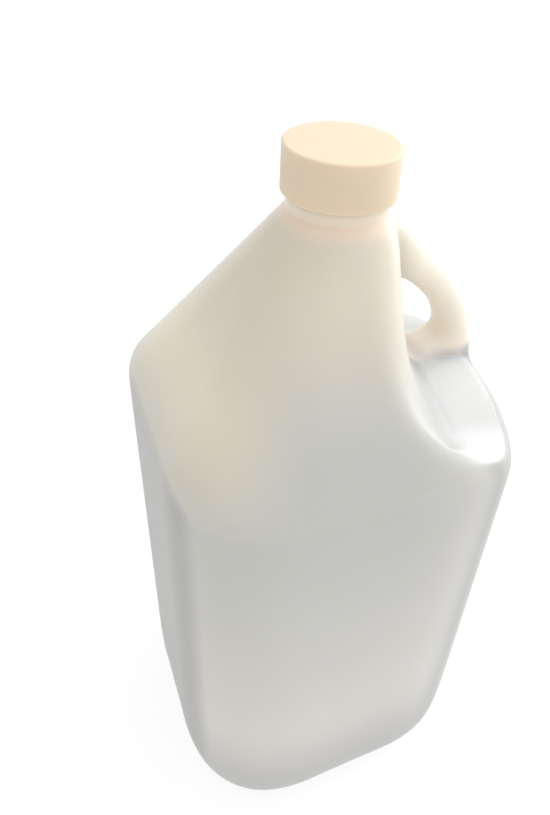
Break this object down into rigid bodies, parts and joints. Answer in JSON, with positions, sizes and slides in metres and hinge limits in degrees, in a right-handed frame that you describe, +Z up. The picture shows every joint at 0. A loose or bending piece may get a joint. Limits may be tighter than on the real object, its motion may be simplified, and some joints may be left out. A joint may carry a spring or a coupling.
{
  "type": "flagon",
  "caption": "Square upright flagon of milky plastic with sloping shoulders, a moulded-in grip handle beside the neck and a flat screw cap.",
  "frame": {"origin": "middle of the base, on the surface that the flagon stands on", "axes": "+Z up through the neck, +X towards the handle, -Y out of the plain front"},
  "size_m": [0.1588, 0.1546, 0.3372],
  "materials": {
    "natural_plastic": "satin, milky and translucent, as blow-moulded",
    "cream_plastic": "satin, as injection-moulded"
  },
  "bodies": {
    "root": {"bottle": "natural_plastic", "cap": "cream_plastic"}
  },
  "joints": []
}
